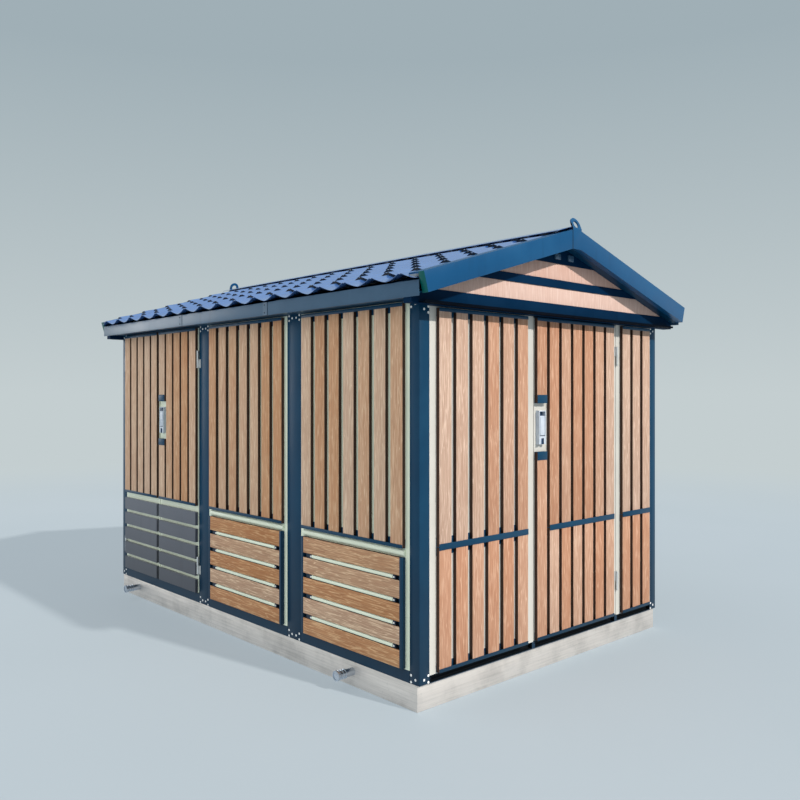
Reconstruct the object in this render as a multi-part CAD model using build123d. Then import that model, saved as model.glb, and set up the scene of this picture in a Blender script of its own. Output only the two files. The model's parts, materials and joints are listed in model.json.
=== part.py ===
from build123d import *
import os
from math import cos, radians, sin, tan

os.makedirs("parts", exist_ok=True)

# A compact substation: a steel-framed cabin on a low metal plinth, clad in slatted
# boards, with a pitched tile-profile roof. Millimetres, +Z up. The origin is on the
# ground under the middle of the footprint. The long front looks along -Y, and the
# gable with the single door looks along +X.

# Footprint and frame
length = 3400.0
width = 2240.0
plinth_height = 133.0
plinth_wall = 80.0
plinth_setback = 15.0
floor_thickness = 12.0
frame_depth = 70.0
corner_post = 70.0
bay_post = 140.0
bay_width = 912.0
side_sill_height = 62.0
gable_sill_height = 40.0
side_opening_height = 1851.0
gable_head_drop = 24.0
head_rail_height = 54.0
jamb_width = 60.0

# Sheet panels behind the boards
sheet = 2.5
panel_depth = 35.0
leaf_depth = 30.0

# Door leaves
hinge_gap = 5.0
meeting_gap = 9.0
sill_gap = 6.0
head_gap = 6.0

# Upright boards and the channels that hold them
board_width = 90.0
board_thickness = 20.0
side_board_pitch = 127.0
leaf_board_pitch = 114.0
side_edge_margin = 24.0
leaf_edge_margin = 9.5
board_end_margin = 30.0
channel_lip = 2.5
channel_lip_height = 19.0
channel_back = 2.0
channel_back_height = 45.0
channel_web = 2.0

# Lower zone on the long sides: level boards over louvres
low_zone_gap = 5.0
low_board_height = 92.0
low_board_pitch = 116.5
low_boards = 5
rail_width = 50.0
rail_thickness = 4.0
edge_angle_width = 20.0
louvre_height = 22.0
louvre_depth = 13.0
band_height = 36.0
band_gap = 3.0
band_top_gap = 7.0
blade_depth = 20.0
blade_rise = 3.0

# The gable wall, from the left as seen from outside
gable_wide_panel = 837.0
gable_leaf = 840.0
gable_mid_rise = 677.0
gable_mid_height = 33.0
wide_board_pitch = 125.0
wide_board_margin = 48.0
door_board_pitch = 116.2
door_board_margin = 5.0
narrow_board_pitch = 120.0
narrow_board_margin = 45.0

# Handles
handle_rise = 1257.0
handle_width = 62.0
handle_height = 192.0
handle_depth = 24.0
handle_back = 5.0
handle_wall = 5.0
handle_opening = 276.0
handle_cap_height = 48.0
lever_width = 42.0
lever_height = 112.0
lever_thickness = 14.0
lever_clear = 5.0
lever_pin_radius = 3.0
lever_pin_clearance = 0.3
lever_top_offset = 36.0
lock_recess_width = 24.0
lock_recess_height = 34.0
lock_recess_depth = 6.0
lock_recess_up = 12.0

# Door hinges
knuckle_radius = 7.0
hinge_stand_off = 10.0
hinge_length = 120.0
hinge_pin_radius = 4.0
hinge_pin_clearance = 0.3
hinge_leaf_gap = 1.0
hinge_flap = 2.5
hinge_flap_width = 26.0
hinge_web_lap = 1.0
hinge_pin_end = 10.0
hinge_bore_end = 2.0
hinge_low_rise = 259.0
hinge_high_drop = 224.0

# Roof
roof_pitch = 16.5
eave_overhang = 112.0
sheet_overhang = 16.0
gable_overhang = 150.0
rafter_depth = 70.0
rafter_width = 60.0
rafter_notch = 10.0
ridge_beam_width = 60.0
ridge_beam_depth = 90.0
fascia_gap = 1.0
fascia_height = 78.0
fascia_sheet = 3.0
fascia_flange = 32.0
soffit_sheet = 6.0
barge_depth = 40.0
barge_height = 108.0
barge_rise = 36.0
barge_lap = 6.0
barge_sheet = 3.0
rake_soffit_drop = 67.0

# Tile-profile roof sheet
tile_pitch = 213.0
tile_profile = ((0, 1), (0.33, 0), (0.67, 0))
tile_wave_height = 31.0
tile_course = 215.0
tile_eave_course = 117.0
tile_step = 15.0
tile_sheet = 2.5
ridge_gap = 8.0
ridge_cap_lap = 14.0
ridge_cap_sheet = 3.0

# Gable infill above the beam
beam_height = 70.0
beam_depth = 55.0
infill_panel_depth = 30.0
infill_board_height = 94.0
infill_strip_height = 46.0
infill_lip = 6.0

# Lifting points
eye_width = 84.0
eye_rise = 69.0
eye_thickness = 8.0
eye_hole_radius = 22.0
eye_hole_up = 26.0
eye_lean = 22.0
bollard_z = 80.0
bollard_length = 117.0
bollard_shaft_radius = 18.0
bollard_flange_radius = 28.0
bollard_flange = 9.0
bollard_near_inset = 515.0
bollard_far_inset = 300.0

half_length = length / 2
half_width = width / 2
slope = tan(radians(roof_pitch))
side_sill_z = plinth_height + side_sill_height
side_head_z = side_sill_z + side_opening_height
gable_sill_z = plinth_height + gable_sill_height
gable_head_z = side_head_z - gable_head_drop
gable_mid_z = plinth_height + gable_mid_rise
frame_top_z = side_head_z + head_rail_height
handle_z = plinth_height + handle_rise
eave_y = half_width + eave_overhang
barge_inner_x = half_length + gable_overhang - barge_depth
roof_seat_apex_z = frame_top_z - rafter_notch + rafter_depth + half_width * slope

nodes = {}


def add(name, *solids):
    """Put solids in a named node, which becomes one file."""
    nodes.setdefault(name, []).extend(solids)


def block(x0, x1, y0, y1, z0, z1):
    """A box given by its two corners."""
    centre = ((x0 + x1) / 2, (y0 + y1) / 2, (z0 + z1) / 2)
    return Pos(*centre) * Box(x1 - x0, y1 - y0, z1 - z0)


def lathe(radius_steps):
    """A turned solid about +Z from (radius, length) steps, starting at z = 0."""
    points = [(0, 0)]
    z = 0
    for radius, step in radius_steps:
        points.append((radius, z))
        z += step
        points.append((radius, z))
    points.append((0, z))
    return revolve(make_face(Plane.XZ * Polyline(*points, close=True)), Axis.Z)


def prism_x(points, x0, x1):
    """A (y, z) outline run along X from x0 to x1."""
    outline = Polyline(*[(x0, y, z) for y, z in points], close=True)
    return extrude(make_face(outline), amount=x1 - x0, dir=(1, 0, 0))


# Each wall is laid out looking at its outside: u runs to the right, -Y points out of
# the wall, and y = 0 is the outer face of the frame.
front_wall = Pos(0, -half_width, 0)
back_wall = Pos(0, half_width, 0) * Rot(0, 0, 180)
door_gable = Pos(half_length, 0, 0) * Rot(0, 0, 90)
far_gable = Pos(-half_length, 0, 0) * Rot(0, 0, -90)


def on(wall, solids):
    return [wall * solid for solid in solids]


def tray_panel(u0, u1, z0, z1, depth):
    """A folded sheet panel: a flat face with a return on all four edges."""
    outside = block(u0, u1, 0, depth, z0, z1)
    inside = block(u0 + sheet, u1 - sheet, sheet, depth + sheet, z0 + sheet, z1 - sheet)
    return outside - inside


def channel(u0, u1, z, opens_up):
    """A U channel along the wall that boards stand in or hang under."""
    depth = channel_back + board_thickness + channel_lip
    lip, back = channel_lip_height, channel_back_height
    outline = [
        (0, 0),
        (-depth, 0),
        (-depth, lip),
        (-depth + channel_lip, lip),
        (-depth + channel_lip, channel_web),
        (-channel_back, channel_web),
        (-channel_back, back),
        (0, back),
    ]
    side = 1 if opens_up else -1
    return prism_x([(y, z + side * up) for y, up in outline], u0, u1)


def double_channel(u0, u1, z):
    """Two channels back to back, between the lower and the upper boards."""
    depth = channel_back + board_thickness + channel_lip
    half_lip = gable_mid_height / 2
    outline = [
        (0, -channel_back_height),
        (0, channel_back_height),
        (-channel_back, channel_back_height),
        (-channel_back, channel_web),
        (channel_lip - depth, channel_web),
        (channel_lip - depth, half_lip),
        (-depth, half_lip),
        (-depth, -half_lip),
        (channel_lip - depth, -half_lip),
        (channel_lip - depth, -channel_web),
        (-channel_back, -channel_web),
        (-channel_back, -channel_back_height),
    ]
    return prism_x([(y, z + up) for y, up in outline], u0, u1)


def upright_boards(u_start, pitch, count, z0, z1):
    """Upright boards seated against the back flange of their channels."""
    front = -channel_back - board_thickness
    starts = [u_start + pitch * i for i in range(count)]
    return [block(u, u + board_width, front, -channel_back, z0, z1) for u in starts]


def cladding_span(count, pitch):
    return pitch * (count - 1) + board_width


def boards_that_fit(room, pitch):
    """How many boards stand in a width, the pitch being fixed."""
    return max(0, int((room - board_width) // pitch) + 1)


def roof_z(y):
    """Height of the rafters' top face."""
    return roof_seat_apex_z - abs(y) * slope


def louvre_bar(u0, u1, z, height):
    """A rolled louvre bar in five flats, with its back on the panel face."""
    corners = ((0, 0), (0.6, 0.08), (1, 0.34), (1, 0.66), (0.6, 0.92), (0, 1))
    return prism_x([(-louvre_depth * out, z + height * up) for out, up in corners], u0, u1)


def low_board_z(i):
    return side_sill_z + low_zone_gap + low_board_pitch * i


low_zone_z = low_board_z(0)
low_zone_top = low_board_z(low_boards - 1) + low_board_height
band_z = low_zone_top + band_gap
upper_zone_z = band_z + band_height + band_top_gap


# Plinth, floor and lifting bollards
plinth_x = half_length - plinth_setback
outer_ring = block(-plinth_x, plinth_x, -half_width, half_width, 0, plinth_height)
ring_hole_x = plinth_x - plinth_wall
ring_hole_y = half_width - plinth_wall
ring_hole = block(-ring_hole_x, ring_hole_x, -ring_hole_y, ring_hole_y, -1, plinth_height + 1)
add("base_frame", outer_ring - ring_hole)

floor_x = half_length - frame_depth
floor_y = half_width - frame_depth
add("floor_plate", block(
    -floor_x, floor_x, -floor_y, floor_y, plinth_height, plinth_height + floor_thickness))

bollard = lathe([
    (bollard_shaft_radius, bollard_length - bollard_flange),
    (bollard_flange_radius, bollard_flange),
])
for bollard_x in (half_length - bollard_near_inset, -half_length + bollard_far_inset):
    add("lifting_bollards", Pos(bollard_x, -half_width, bollard_z) * Rot(90, 0, 0) * bollard)
    add("lifting_bollards", Pos(bollard_x, half_width, bollard_z) * Rot(-90, 0, 0) * bollard)

# Posts. The bays run from the right-hand corner of the front.
right_bay = (half_length - corner_post - bay_width, half_length - corner_post)
right_post = (right_bay[0] - bay_post, right_bay[0])
middle_bay = (right_post[0] - bay_width, right_post[0])
left_post = (middle_bay[0] - bay_post, middle_bay[0])
door_bay = (-half_length + corner_post, left_post[0])

for side_x in (-1, 1):
    for side_y in (-1, 1):
        x0, x1 = sorted((side_x * (half_length - corner_post), side_x * half_length))
        y0, y1 = sorted((side_y * (half_width - frame_depth), side_y * half_width))
        add("corner_posts", block(x0, x1, y0, y1, plinth_height, frame_top_z))

for post in (right_post, left_post):
    solids = [block(*post, 0, frame_depth, plinth_height, frame_top_z)]
    mirrored = [block(-post[1], -post[0], 0, frame_depth, plinth_height, frame_top_z)]
    add("bay_posts", *on(front_wall, solids), *on(back_wall, mirrored))

# Sills and heads between the posts
front_bays = [door_bay, middle_bay, right_bay]
back_bays = [(-bay[1], -bay[0]) for bay in front_bays]
gable_inner = half_width - corner_post
for wall, bays in ((front_wall, front_bays), (back_wall, back_bays)):
    for bay in bays:
        sill = block(*bay, 0, frame_depth, plinth_height, side_sill_z)
        head = block(*bay, 0, frame_depth, side_head_z, frame_top_z)
        add("frame_rails", wall * sill)
        add("frame_rails", wall * head)
for wall in (door_gable, far_gable):
    sill = block(-gable_inner, gable_inner, 0, frame_depth, plinth_height, gable_sill_z)
    head = block(-gable_inner, gable_inner, 0, frame_depth, gable_head_z, frame_top_z)
    add("frame_rails", wall * sill)
    add("frame_rails", wall * head)

# Gable bays: wide fixed panel, door leaf, narrow fixed panel
wide_bay = (-gable_inner, -gable_inner + gable_wide_panel)
gable_door = (wide_bay[1] + hinge_gap, wide_bay[1] + hinge_gap + gable_leaf)
narrow_bay = (gable_door[1] + hinge_gap, gable_inner)
jamb_lines = (wide_bay[1] + hinge_gap / 2, gable_door[1] + hinge_gap / 2)
for wall in (door_gable, far_gable):
    for line in jamb_lines:
        jamb = block(
            line - jamb_width / 2, line + jamb_width / 2,
            panel_depth, frame_depth, gable_sill_z, gable_head_z)
        add("gable_jambs", wall * jamb)

# Fixed panels
for bay in (middle_bay, right_bay):
    add("side_panels", front_wall * tray_panel(*bay, side_sill_z, side_head_z, panel_depth))
for bay in back_bays:
    add("side_panels", back_wall * tray_panel(*bay, side_sill_z, side_head_z, panel_depth))
for bay in (wide_bay, narrow_bay):
    add("gable_panels",
        door_gable * tray_panel(*bay, gable_sill_z, gable_head_z, panel_depth))
for bay in (wide_bay, gable_door, narrow_bay):
    mirrored = (-bay[1], -bay[0])
    add("gable_panels",
        far_gable * tray_panel(*mirrored, gable_sill_z, gable_head_z, panel_depth))


def side_bay_cladding(wall, bay):
    """Upright boards over level boards, as on every fixed bay of the long sides."""
    boards = boards_that_fit(bay[1] - bay[0] - 2 * side_edge_margin, side_board_pitch)
    if boards == 0:
        return
    centre = (bay[0] + bay[1]) / 2
    span = cladding_span(boards, side_board_pitch)
    u0, u1 = centre - span / 2, centre + span / 2
    top_z = side_head_z - head_gap
    add("side_boards", *on(wall, upright_boards(
        u0, side_board_pitch, boards, upper_zone_z + channel_web, top_z - channel_web)))
    add("board_channels", wall * channel(u0, u1, upper_zone_z, True))
    add("board_channels", wall * channel(u0, u1, top_z, False))
    front = -rail_thickness - board_thickness
    for i in range(low_boards):
        z = low_board_z(i)
        add("low_boards", wall * block(
            u0 + edge_angle_width, u1 - edge_angle_width,
            front, -rail_thickness, z, z + low_board_height))
    for rail_u, edge_u in ((u0, u0), (u1 - rail_width, u1 - edge_angle_width)):
        rail = block(
            rail_u, rail_u + rail_width, -rail_thickness, 0, low_zone_z, low_zone_top)
        edge = block(
            edge_u, edge_u + edge_angle_width, front, 0, low_zone_z, low_zone_top)
        add("low_rails", wall * (rail + edge))
    for i in range(low_boards - 1):
        gap_z = low_board_z(i) + low_board_height
        gap = low_board_pitch - low_board_height
        z = gap_z + (gap - louvre_height) / 2
        add("louvre_bars", wall * louvre_bar(u0 + rail_width, u1 - rail_width, z, louvre_height))
    add("louvre_bars", wall * louvre_bar(u0, u1, band_z, band_height))


for bay in (middle_bay, right_bay):
    side_bay_cladding(front_wall, bay)
for bay in back_bays:
    side_bay_cladding(back_wall, bay)


def handle_boards(u, z0, z1):
    """The board a handle interrupts, cut back for the caps on its two ends."""
    low_end = handle_z - handle_opening / 2 - channel_web
    high_start = handle_z + handle_opening / 2 + channel_web
    return upright_boards(u, 0, 1, z0, low_end) + upright_boards(u, 0, 1, high_start, z1)


def gable_cladding(u_start, pitch, count, z_sill, z_head, handle_first=False):
    """Boards in two heights between three channels. Returns boards and channels."""
    if count == 0:
        return [], []
    u_end = u_start + cladding_span(count, pitch)
    low_z = z_sill + channel_web
    high_z = z_head - channel_web
    boards = []
    channels = [channel(u_start, u_end, z_sill, True), channel(u_start, u_end, z_head, False)]
    if handle_first:
        boards += handle_boards(u_start, low_z, high_z)
        u_start += pitch
        count -= 1
    boards += upright_boards(u_start, pitch, count, low_z, gable_mid_z - channel_web)
    boards += upright_boards(u_start, pitch, count, gable_mid_z + channel_web, high_z)
    channels.append(double_channel(u_start, u_end, gable_mid_z))
    return boards, channels


gable_low = gable_sill_z + sill_gap
gable_high = gable_head_z - head_gap
wide_start = wide_bay[0] + wide_board_margin
narrow_start = narrow_bay[0] + narrow_board_margin
door_start = gable_door[0] + door_board_margin
wide_boards = boards_that_fit(wide_bay[1] - wide_start - board_end_margin, wide_board_pitch)
door_boards = boards_that_fit(gable_door[1] - door_start - board_end_margin, door_board_pitch)
narrow_boards = boards_that_fit(
    narrow_bay[1] - narrow_start - board_end_margin, narrow_board_pitch)
for start, pitch, count in (
    (wide_start, wide_board_pitch, wide_boards),
    (narrow_start, narrow_board_pitch, narrow_boards),
):
    boards, channels = gable_cladding(start, pitch, count, gable_low, gable_high)
    add("gable_boards", *on(door_gable, boards))
    add("board_channels", *on(door_gable, channels))
far_starts = (
    (-wide_start - cladding_span(wide_boards, wide_board_pitch), wide_board_pitch, wide_boards),
    (-door_start - cladding_span(door_boards, door_board_pitch), door_board_pitch, door_boards),
    (-narrow_start - cladding_span(narrow_boards, narrow_board_pitch),
     narrow_board_pitch, narrow_boards),
)
for start, pitch, count in far_starts:
    boards, channels = gable_cladding(start, pitch, count, gable_low, gable_high)
    add("gable_boards", *on(far_gable, boards))
    add("board_channels", *on(far_gable, channels))


# Door leaves
leaf_low = side_sill_z + sill_gap
leaf_high = side_head_z - head_gap
door_middle = (door_bay[0] + door_bay[1]) / 2
left_leaf = (door_bay[0] + hinge_gap, door_middle - meeting_gap / 2)
right_leaf = (door_middle + meeting_gap / 2, door_bay[1] - hinge_gap)
leaf_boards = boards_that_fit(
    left_leaf[1] - left_leaf[0] - 2 * leaf_edge_margin, leaf_board_pitch)
leaf_span = cladding_span(leaf_boards, leaf_board_pitch)


def cap_channel(u0, u1, z, opens_up):
    """The folded cap on the end of a board beside a handle."""
    depth = channel_back + board_thickness + channel_lip
    side = 1 if opens_up else -1
    outline = [
        (0, 0),
        (-depth, 0),
        (-depth, side * handle_cap_height),
        (-depth + channel_lip, side * handle_cap_height),
        (-depth + channel_lip, side * channel_web),
        (-channel_back, side * channel_web),
        (-channel_back, side * handle_cap_height),
        (0, side * handle_cap_height),
    ]
    return prism_x([(y, z + up) for y, up in outline], u0, u1)


def handle_caps(u0):
    low = handle_z - handle_opening / 2
    high = handle_z + handle_opening / 2
    return [
        cap_channel(u0, u0 + board_width, low, False),
        cap_channel(u0, u0 + board_width, high, True),
    ]


def front_leaf(name, leaf, boards_start, with_handle):
    """One leaf of the double door: tray, boards, channels and steel blades."""
    u0, u1 = boards_start, boards_start + leaf_span
    add(name + "_leaf", front_wall * tray_panel(*leaf, leaf_low, leaf_high, leaf_depth))
    boards_low = upper_zone_z + channel_web
    boards_high = leaf_high - channel_web
    first, count = u0, leaf_boards
    if with_handle:
        add(name + "_boards", *on(front_wall, handle_boards(u0, boards_low, boards_high)))
        add(name + "_channels", *on(front_wall, handle_caps(u0)))
        first, count = u0 + leaf_board_pitch, leaf_boards - 1
    add(name + "_boards", *on(front_wall, upright_boards(
        first, leaf_board_pitch, count, boards_low, boards_high)))
    add(name + "_channels", front_wall * channel(u0, u1, upper_zone_z, True))
    add(name + "_channels", front_wall * channel(u0, u1, leaf_high, False))
    for i in range(low_boards):
        z = low_board_z(i) + blade_rise
        top = z + low_board_height
        outside = block(u0, u1, -blade_depth - channel_back, 0, z, top)
        inside = block(
            u0 + channel_web, u1 - channel_web,
            -blade_depth, 1, z + channel_web, top - channel_web)
        add(name + "_blades", front_wall * (outside - inside))


front_leaf("left_door", left_leaf, left_leaf[0] + leaf_edge_margin, False)
front_leaf("right_door", right_leaf, right_leaf[1] - leaf_edge_margin - leaf_span, True)

add("gable_door_leaf",
    door_gable * tray_panel(*gable_door, gable_low, gable_high, leaf_depth))
boards, channels = gable_cladding(
    door_start, door_board_pitch, door_boards, gable_low, gable_high, handle_first=True)
add("gable_door_boards", *on(door_gable, boards))
add("gable_door_channels", *on(door_gable, channels + handle_caps(door_start)))


pivot_z = handle_z + handle_height / 2 - lever_top_offset
pivot_y = -handle_back - lever_clear - lever_thickness / 2
lever_foot_z = pivot_z + lever_thickness / 2 - lever_height


def handle_base(u):
    """The handle's housing: a pocket round the lever over a solid latch with a lock recess."""
    left, right = u - handle_width / 2, u + handle_width / 2
    low, high = handle_z - handle_height / 2, handle_z + handle_height / 2
    housing = block(left, right, -handle_depth, 0, low, high)
    pocket = block(
        left + handle_wall, right - handle_wall, -handle_depth - 1, -handle_back,
        lever_foot_z - lever_clear, high - handle_wall)
    lock_high = lever_foot_z - lever_clear - lock_recess_up
    lock = block(
        u - lock_recess_width / 2, u + lock_recess_width / 2,
        -handle_depth - 1, lock_recess_depth - handle_depth,
        lock_high - lock_recess_height, lock_high)
    pin_hole = Pos(u, pivot_y, pivot_z) * Rot(0, 90, 0) * Cylinder(
        lever_pin_radius + lever_pin_clearance, handle_width * 2)
    return housing - pocket - lock - pin_hole


def handle_lever(u):
    """The lift-out lever with its pivot pin, seen in the handle as a paddle."""
    half = lever_thickness / 2
    outline = [(pivot_y + half, lever_foot_z), (pivot_y - half, lever_foot_z)]
    for angle in (180, 135, 90, 45, 0):
        turn = radians(angle)
        outline.append((pivot_y + half * cos(turn), pivot_z + half * sin(turn)))
    paddle = prism_x(outline, u - lever_width / 2, u + lever_width / 2)
    pin = Pos(u, pivot_y, pivot_z) * Rot(0, 90, 0) * Cylinder(lever_pin_radius, handle_width)
    return paddle + pin


right_handle_u = right_leaf[1] - leaf_edge_margin - leaf_span + board_width / 2
gable_handle_u = door_start + board_width / 2
add("right_door_handle", front_wall * handle_base(right_handle_u))
add("right_door_lever", front_wall * handle_lever(right_handle_u))
add("gable_door_handle", door_gable * handle_base(gable_handle_u))
add("gable_door_lever", door_gable * handle_lever(gable_handle_u))


def hinge_pair(u, centre_z, leaf_side, leaf_flap):
    """Leaf half above, frame half below, with the pin fixed in the frame half."""
    low = centre_z - hinge_length / 2
    high = centre_z + hinge_length / 2
    middle = centre_z
    axis_y = -hinge_stand_off

    def half(z0, z1, side, flap_width):
        knuckle = Pos(u, axis_y, (z0 + z1) / 2) * Cylinder(knuckle_radius, z1 - z0)
        u0, u1 = sorted((u + side * hinge_gap / 2, u + side * flap_width))
        flap = block(u0, u1, -hinge_flap, 0, z0, z1)
        web_end = knuckle_radius + hinge_web_lap
        w0, w1 = sorted((u + side * hinge_gap / 2, u + side * web_end))
        web = block(w0, w1, axis_y, -hinge_flap, z0, z1)
        return knuckle + flap + web

    frame_half = half(low, middle - hinge_leaf_gap / 2, -leaf_side, hinge_flap_width)
    leaf_half = half(middle + hinge_leaf_gap / 2, high, leaf_side, leaf_flap)
    pin_top = high - hinge_pin_end
    pin = Pos(u, axis_y, (low + pin_top) / 2) * Cylinder(hinge_pin_radius, pin_top - low)
    bore_top = pin_top + hinge_bore_end
    bore = Pos(u, axis_y, (middle + bore_top) / 2) * Cylinder(
        hinge_pin_radius + hinge_pin_clearance, bore_top - middle)
    return frame_half + pin, leaf_half - bore


front_flap = leaf_edge_margin + hinge_gap / 2 - hinge_leaf_gap
door_hinge_margin = gable_leaf - door_board_margin - cladding_span(door_boards, door_board_pitch)
gable_flap = min(hinge_flap_width, door_hinge_margin)
left_hinge_u = left_leaf[0] - hinge_gap / 2
right_hinge_u = right_leaf[1] + hinge_gap / 2
gable_hinge_u = gable_door[1] + hinge_gap / 2
for hinge_z in (plinth_height + hinge_low_rise, side_head_z - hinge_high_drop):
    for name, wall, u, leaf_side, flap in (
        ("left_door", front_wall, left_hinge_u, 1, front_flap),
        ("right_door", front_wall, right_hinge_u, -1, front_flap),
        ("gable_door", door_gable, gable_hinge_u, -1, gable_flap),
    ):
        frame_half, leaf_half = hinge_pair(u, hinge_z, leaf_side, flap)
        add("frame_hinges", wall * frame_half)
        add(name + "_hinges", wall * leaf_half)


# Roof structure
fascia_inner_y = eave_y - fascia_sheet
fascia_bottom_z = roof_z(eave_y) - fascia_gap - fascia_height
ridge_half = ridge_beam_width / 2
ridge_top_z = roof_z(ridge_half)
add("roof_frame", block(
    -half_length, half_length, -ridge_half, ridge_half,
    ridge_top_z - ridge_beam_depth, ridge_top_z))
post_middles = [(post[0] + post[1]) / 2 for post in (right_post, left_post)]
rafter_lines = [half_length - rafter_width / 2, *post_middles, -half_length + rafter_width / 2]
for rafter_x in rafter_lines:
    for side in (-1, 1):
        outline = [
            (side * ridge_half, roof_z(ridge_half)),
            (side * fascia_inner_y, roof_z(fascia_inner_y)),
            (side * fascia_inner_y, roof_z(fascia_inner_y) - rafter_depth),
            (side * ridge_half, roof_z(ridge_half) - rafter_depth),
        ]
        rafter = prism_x(outline, rafter_x - rafter_width / 2, rafter_x + rafter_width / 2)
        seat = block(
            rafter_x - rafter_width, rafter_x + rafter_width,
            -half_width, half_width, plinth_height, frame_top_z)
        add("roof_frame", rafter - seat)

# Eave boxes: fascia and level soffit
for side in (-1, 1):
    y_out, y_in = side * eave_y, side * fascia_inner_y
    y_flange = side * (eave_y - fascia_flange)
    face = block(
        -barge_inner_x, barge_inner_x, min(y_out, y_in), max(y_out, y_in),
        fascia_bottom_z, fascia_bottom_z + fascia_height)
    flange = block(
        -half_length, half_length, min(y_out, y_flange), max(y_out, y_flange),
        fascia_bottom_z, fascia_bottom_z + fascia_sheet)
    add("fascias", face + flange)
    y_wall = side * half_width
    soffit_z = fascia_bottom_z + fascia_sheet
    add("soffits", block(
        -half_length, half_length, min(y_wall, y_in), max(y_wall, y_in),
        soffit_z, soffit_z + soffit_sheet))

# Gable beam, infill, sloping soffit and bargeboard at both ends
infill_apex_z = roof_seat_apex_z - rake_soffit_drop
beam_top_z = gable_head_z + beam_height


def infill_half_width(z):
    return (infill_apex_z - z) / slope


def infill_band(z0, z1):
    """A level band of the gable triangle as a (y, z) outline."""
    low, high = infill_half_width(z0), infill_half_width(z1)
    if z1 == infill_apex_z:
        return [(-low, z0), (low, z0), (0, z1)]
    return [(-low, z0), (low, z0), (high, z1), (-high, z1)]


def both_ends(outline, x0, x1):
    """The same (y, z) outline run from x0 to x1 at the +X end, and mirrored at -X."""
    return [prism_x(outline, x0, x1), prism_x(outline, -x1, -x0)]


soffit_end_z = infill_apex_z - fascia_inner_y * slope
beam_outline = [
    (-fascia_inner_y, gable_head_z),
    (fascia_inner_y, gable_head_z),
    (fascia_inner_y, soffit_end_z),
    (infill_half_width(beam_top_z), beam_top_z),
    (-infill_half_width(beam_top_z), beam_top_z),
    (-fascia_inner_y, soffit_end_z),
]
panel_x = half_length + infill_panel_depth
board_x = panel_x + board_thickness
strip_x = half_length + beam_depth
add("gable_beams", *both_ends(beam_outline, half_length, strip_x))

low_board_bottom = beam_top_z + infill_lip
low_board_top = low_board_bottom + infill_board_height
high_board_bottom = low_board_top + infill_strip_height
high_board_top = high_board_bottom + infill_board_height
for z0, z1 in ((low_board_bottom, low_board_top), (high_board_bottom, high_board_top)):
    add("infill_boards", *both_ends(infill_band(z0, z1), panel_x, board_x))
infill = prism_x(infill_band(beam_top_z, infill_apex_z), half_length, panel_x)
for z0, z1 in (
    (beam_top_z, low_board_bottom),
    (low_board_top, high_board_bottom),
    (high_board_top, infill_apex_z),
):
    infill += prism_x(infill_band(z0, z1), panel_x, strip_x)
add("infill_panels", infill, Rot(0, 0, 180) * infill)

rake_outline = [
    (-fascia_inner_y, soffit_end_z),
    (0, infill_apex_z),
    (fascia_inner_y, soffit_end_z),
    (fascia_inner_y, soffit_end_z + soffit_sheet),
    (0, infill_apex_z + soffit_sheet),
    (-fascia_inner_y, soffit_end_z + soffit_sheet),
]
add("soffits", *both_ends(rake_outline, half_length, barge_inner_x))

barge_apex_z = roof_seat_apex_z + barge_rise
barge_end_y = eave_y + barge_lap
barge_outer_x = half_length + gable_overhang
slope_sin, slope_cos = sin(radians(roof_pitch)), cos(radians(roof_pitch))


def chevron(inset):
    """The bargeboard's outline as (y, z) points, drawn in by an even inset."""
    top = barge_apex_z - inset / slope_cos
    bottom = barge_apex_z - barge_height + inset / slope_cos
    face = barge_height * slope_cos - 2 * inset
    end_y = barge_end_y - inset * (slope_cos + slope_sin)
    end_z = top - end_y * slope
    foot_y, foot_z = end_y - face * slope_sin, end_z - face * slope_cos
    return [
        (0, top), (end_y, end_z), (foot_y, foot_z),
        (0, bottom), (-foot_y, foot_z), (-end_y, end_z),
    ]


def eye_outline():
    """The lifting eye's plate: straight sides, a round top and one hole."""
    crown = eye_width / 2
    straight = eye_rise - crown
    plate = Pos(0, straight / 2) * Rectangle(eye_width, straight) + Pos(0, straight) * Circle(crown)
    below = Pos(0, -crown / 2) * Rectangle(2 * eye_width, crown)
    return plate - below - Pos(0, eye_hole_up) * Circle(eye_hole_radius)


def bargeboard():
    """The folded board at the +X end, open to the roof, with its lifting eye."""
    shell = prism_x(chevron(0), barge_inner_x, barge_outer_x)
    inner = prism_x(chevron(barge_sheet), barge_inner_x - 1, barge_outer_x - barge_sheet)
    lean = radians(eye_lean)
    fold = Plane(
        origin=(barge_outer_x - eye_thickness, 0, barge_apex_z - eye_thickness * sin(lean)),
        x_dir=(0, 1, 0),
        z_dir=(cos(lean), 0, sin(lean)),
    )
    eye = extrude(fold * eye_outline(), amount=eye_thickness)
    root = block(
        barge_outer_x - eye_thickness, barge_outer_x, -eye_width / 2, eye_width / 2,
        barge_apex_z - barge_height - slope * eye_width / 2, barge_apex_z)
    return shell - inner + root + eye


near_barge = bargeboard()
add("bargeboards", near_barge, Rot(0, 0, 180) * near_barge)

# Roof sheets: pressed waves run up the slope, and stepped courses cross them. Each course
# falls to the seat line as it climbs, and its nose stands over the course below. The
# eave cuts the lowest course short, and the ridge cuts the highest.
sheet_start_y = eave_y + sheet_overhang
run_length = (sheet_start_y - ridge_gap) / slope_cos
tile_waves = round(2 * barge_inner_x / tile_pitch)
wave_pitch = 2 * barge_inner_x / tile_waves
tile_fall = tile_step / tile_course


def wave(lift):
    """The wave as (x, n) points across the whole sheet, raised by lift."""
    points = [(-barge_inner_x, lift)]
    for i in range(tile_waves):
        for phase, height in tile_profile:
            x = -barge_inner_x + wave_pitch * (i + 0.5 + phase)
            points.append((x, lift + tile_wave_height * height))
    points[-1] = (barge_inner_x, lift)
    return points


def wave_band(low, high):
    return wave(low) + wave(high)[::-1]


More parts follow.
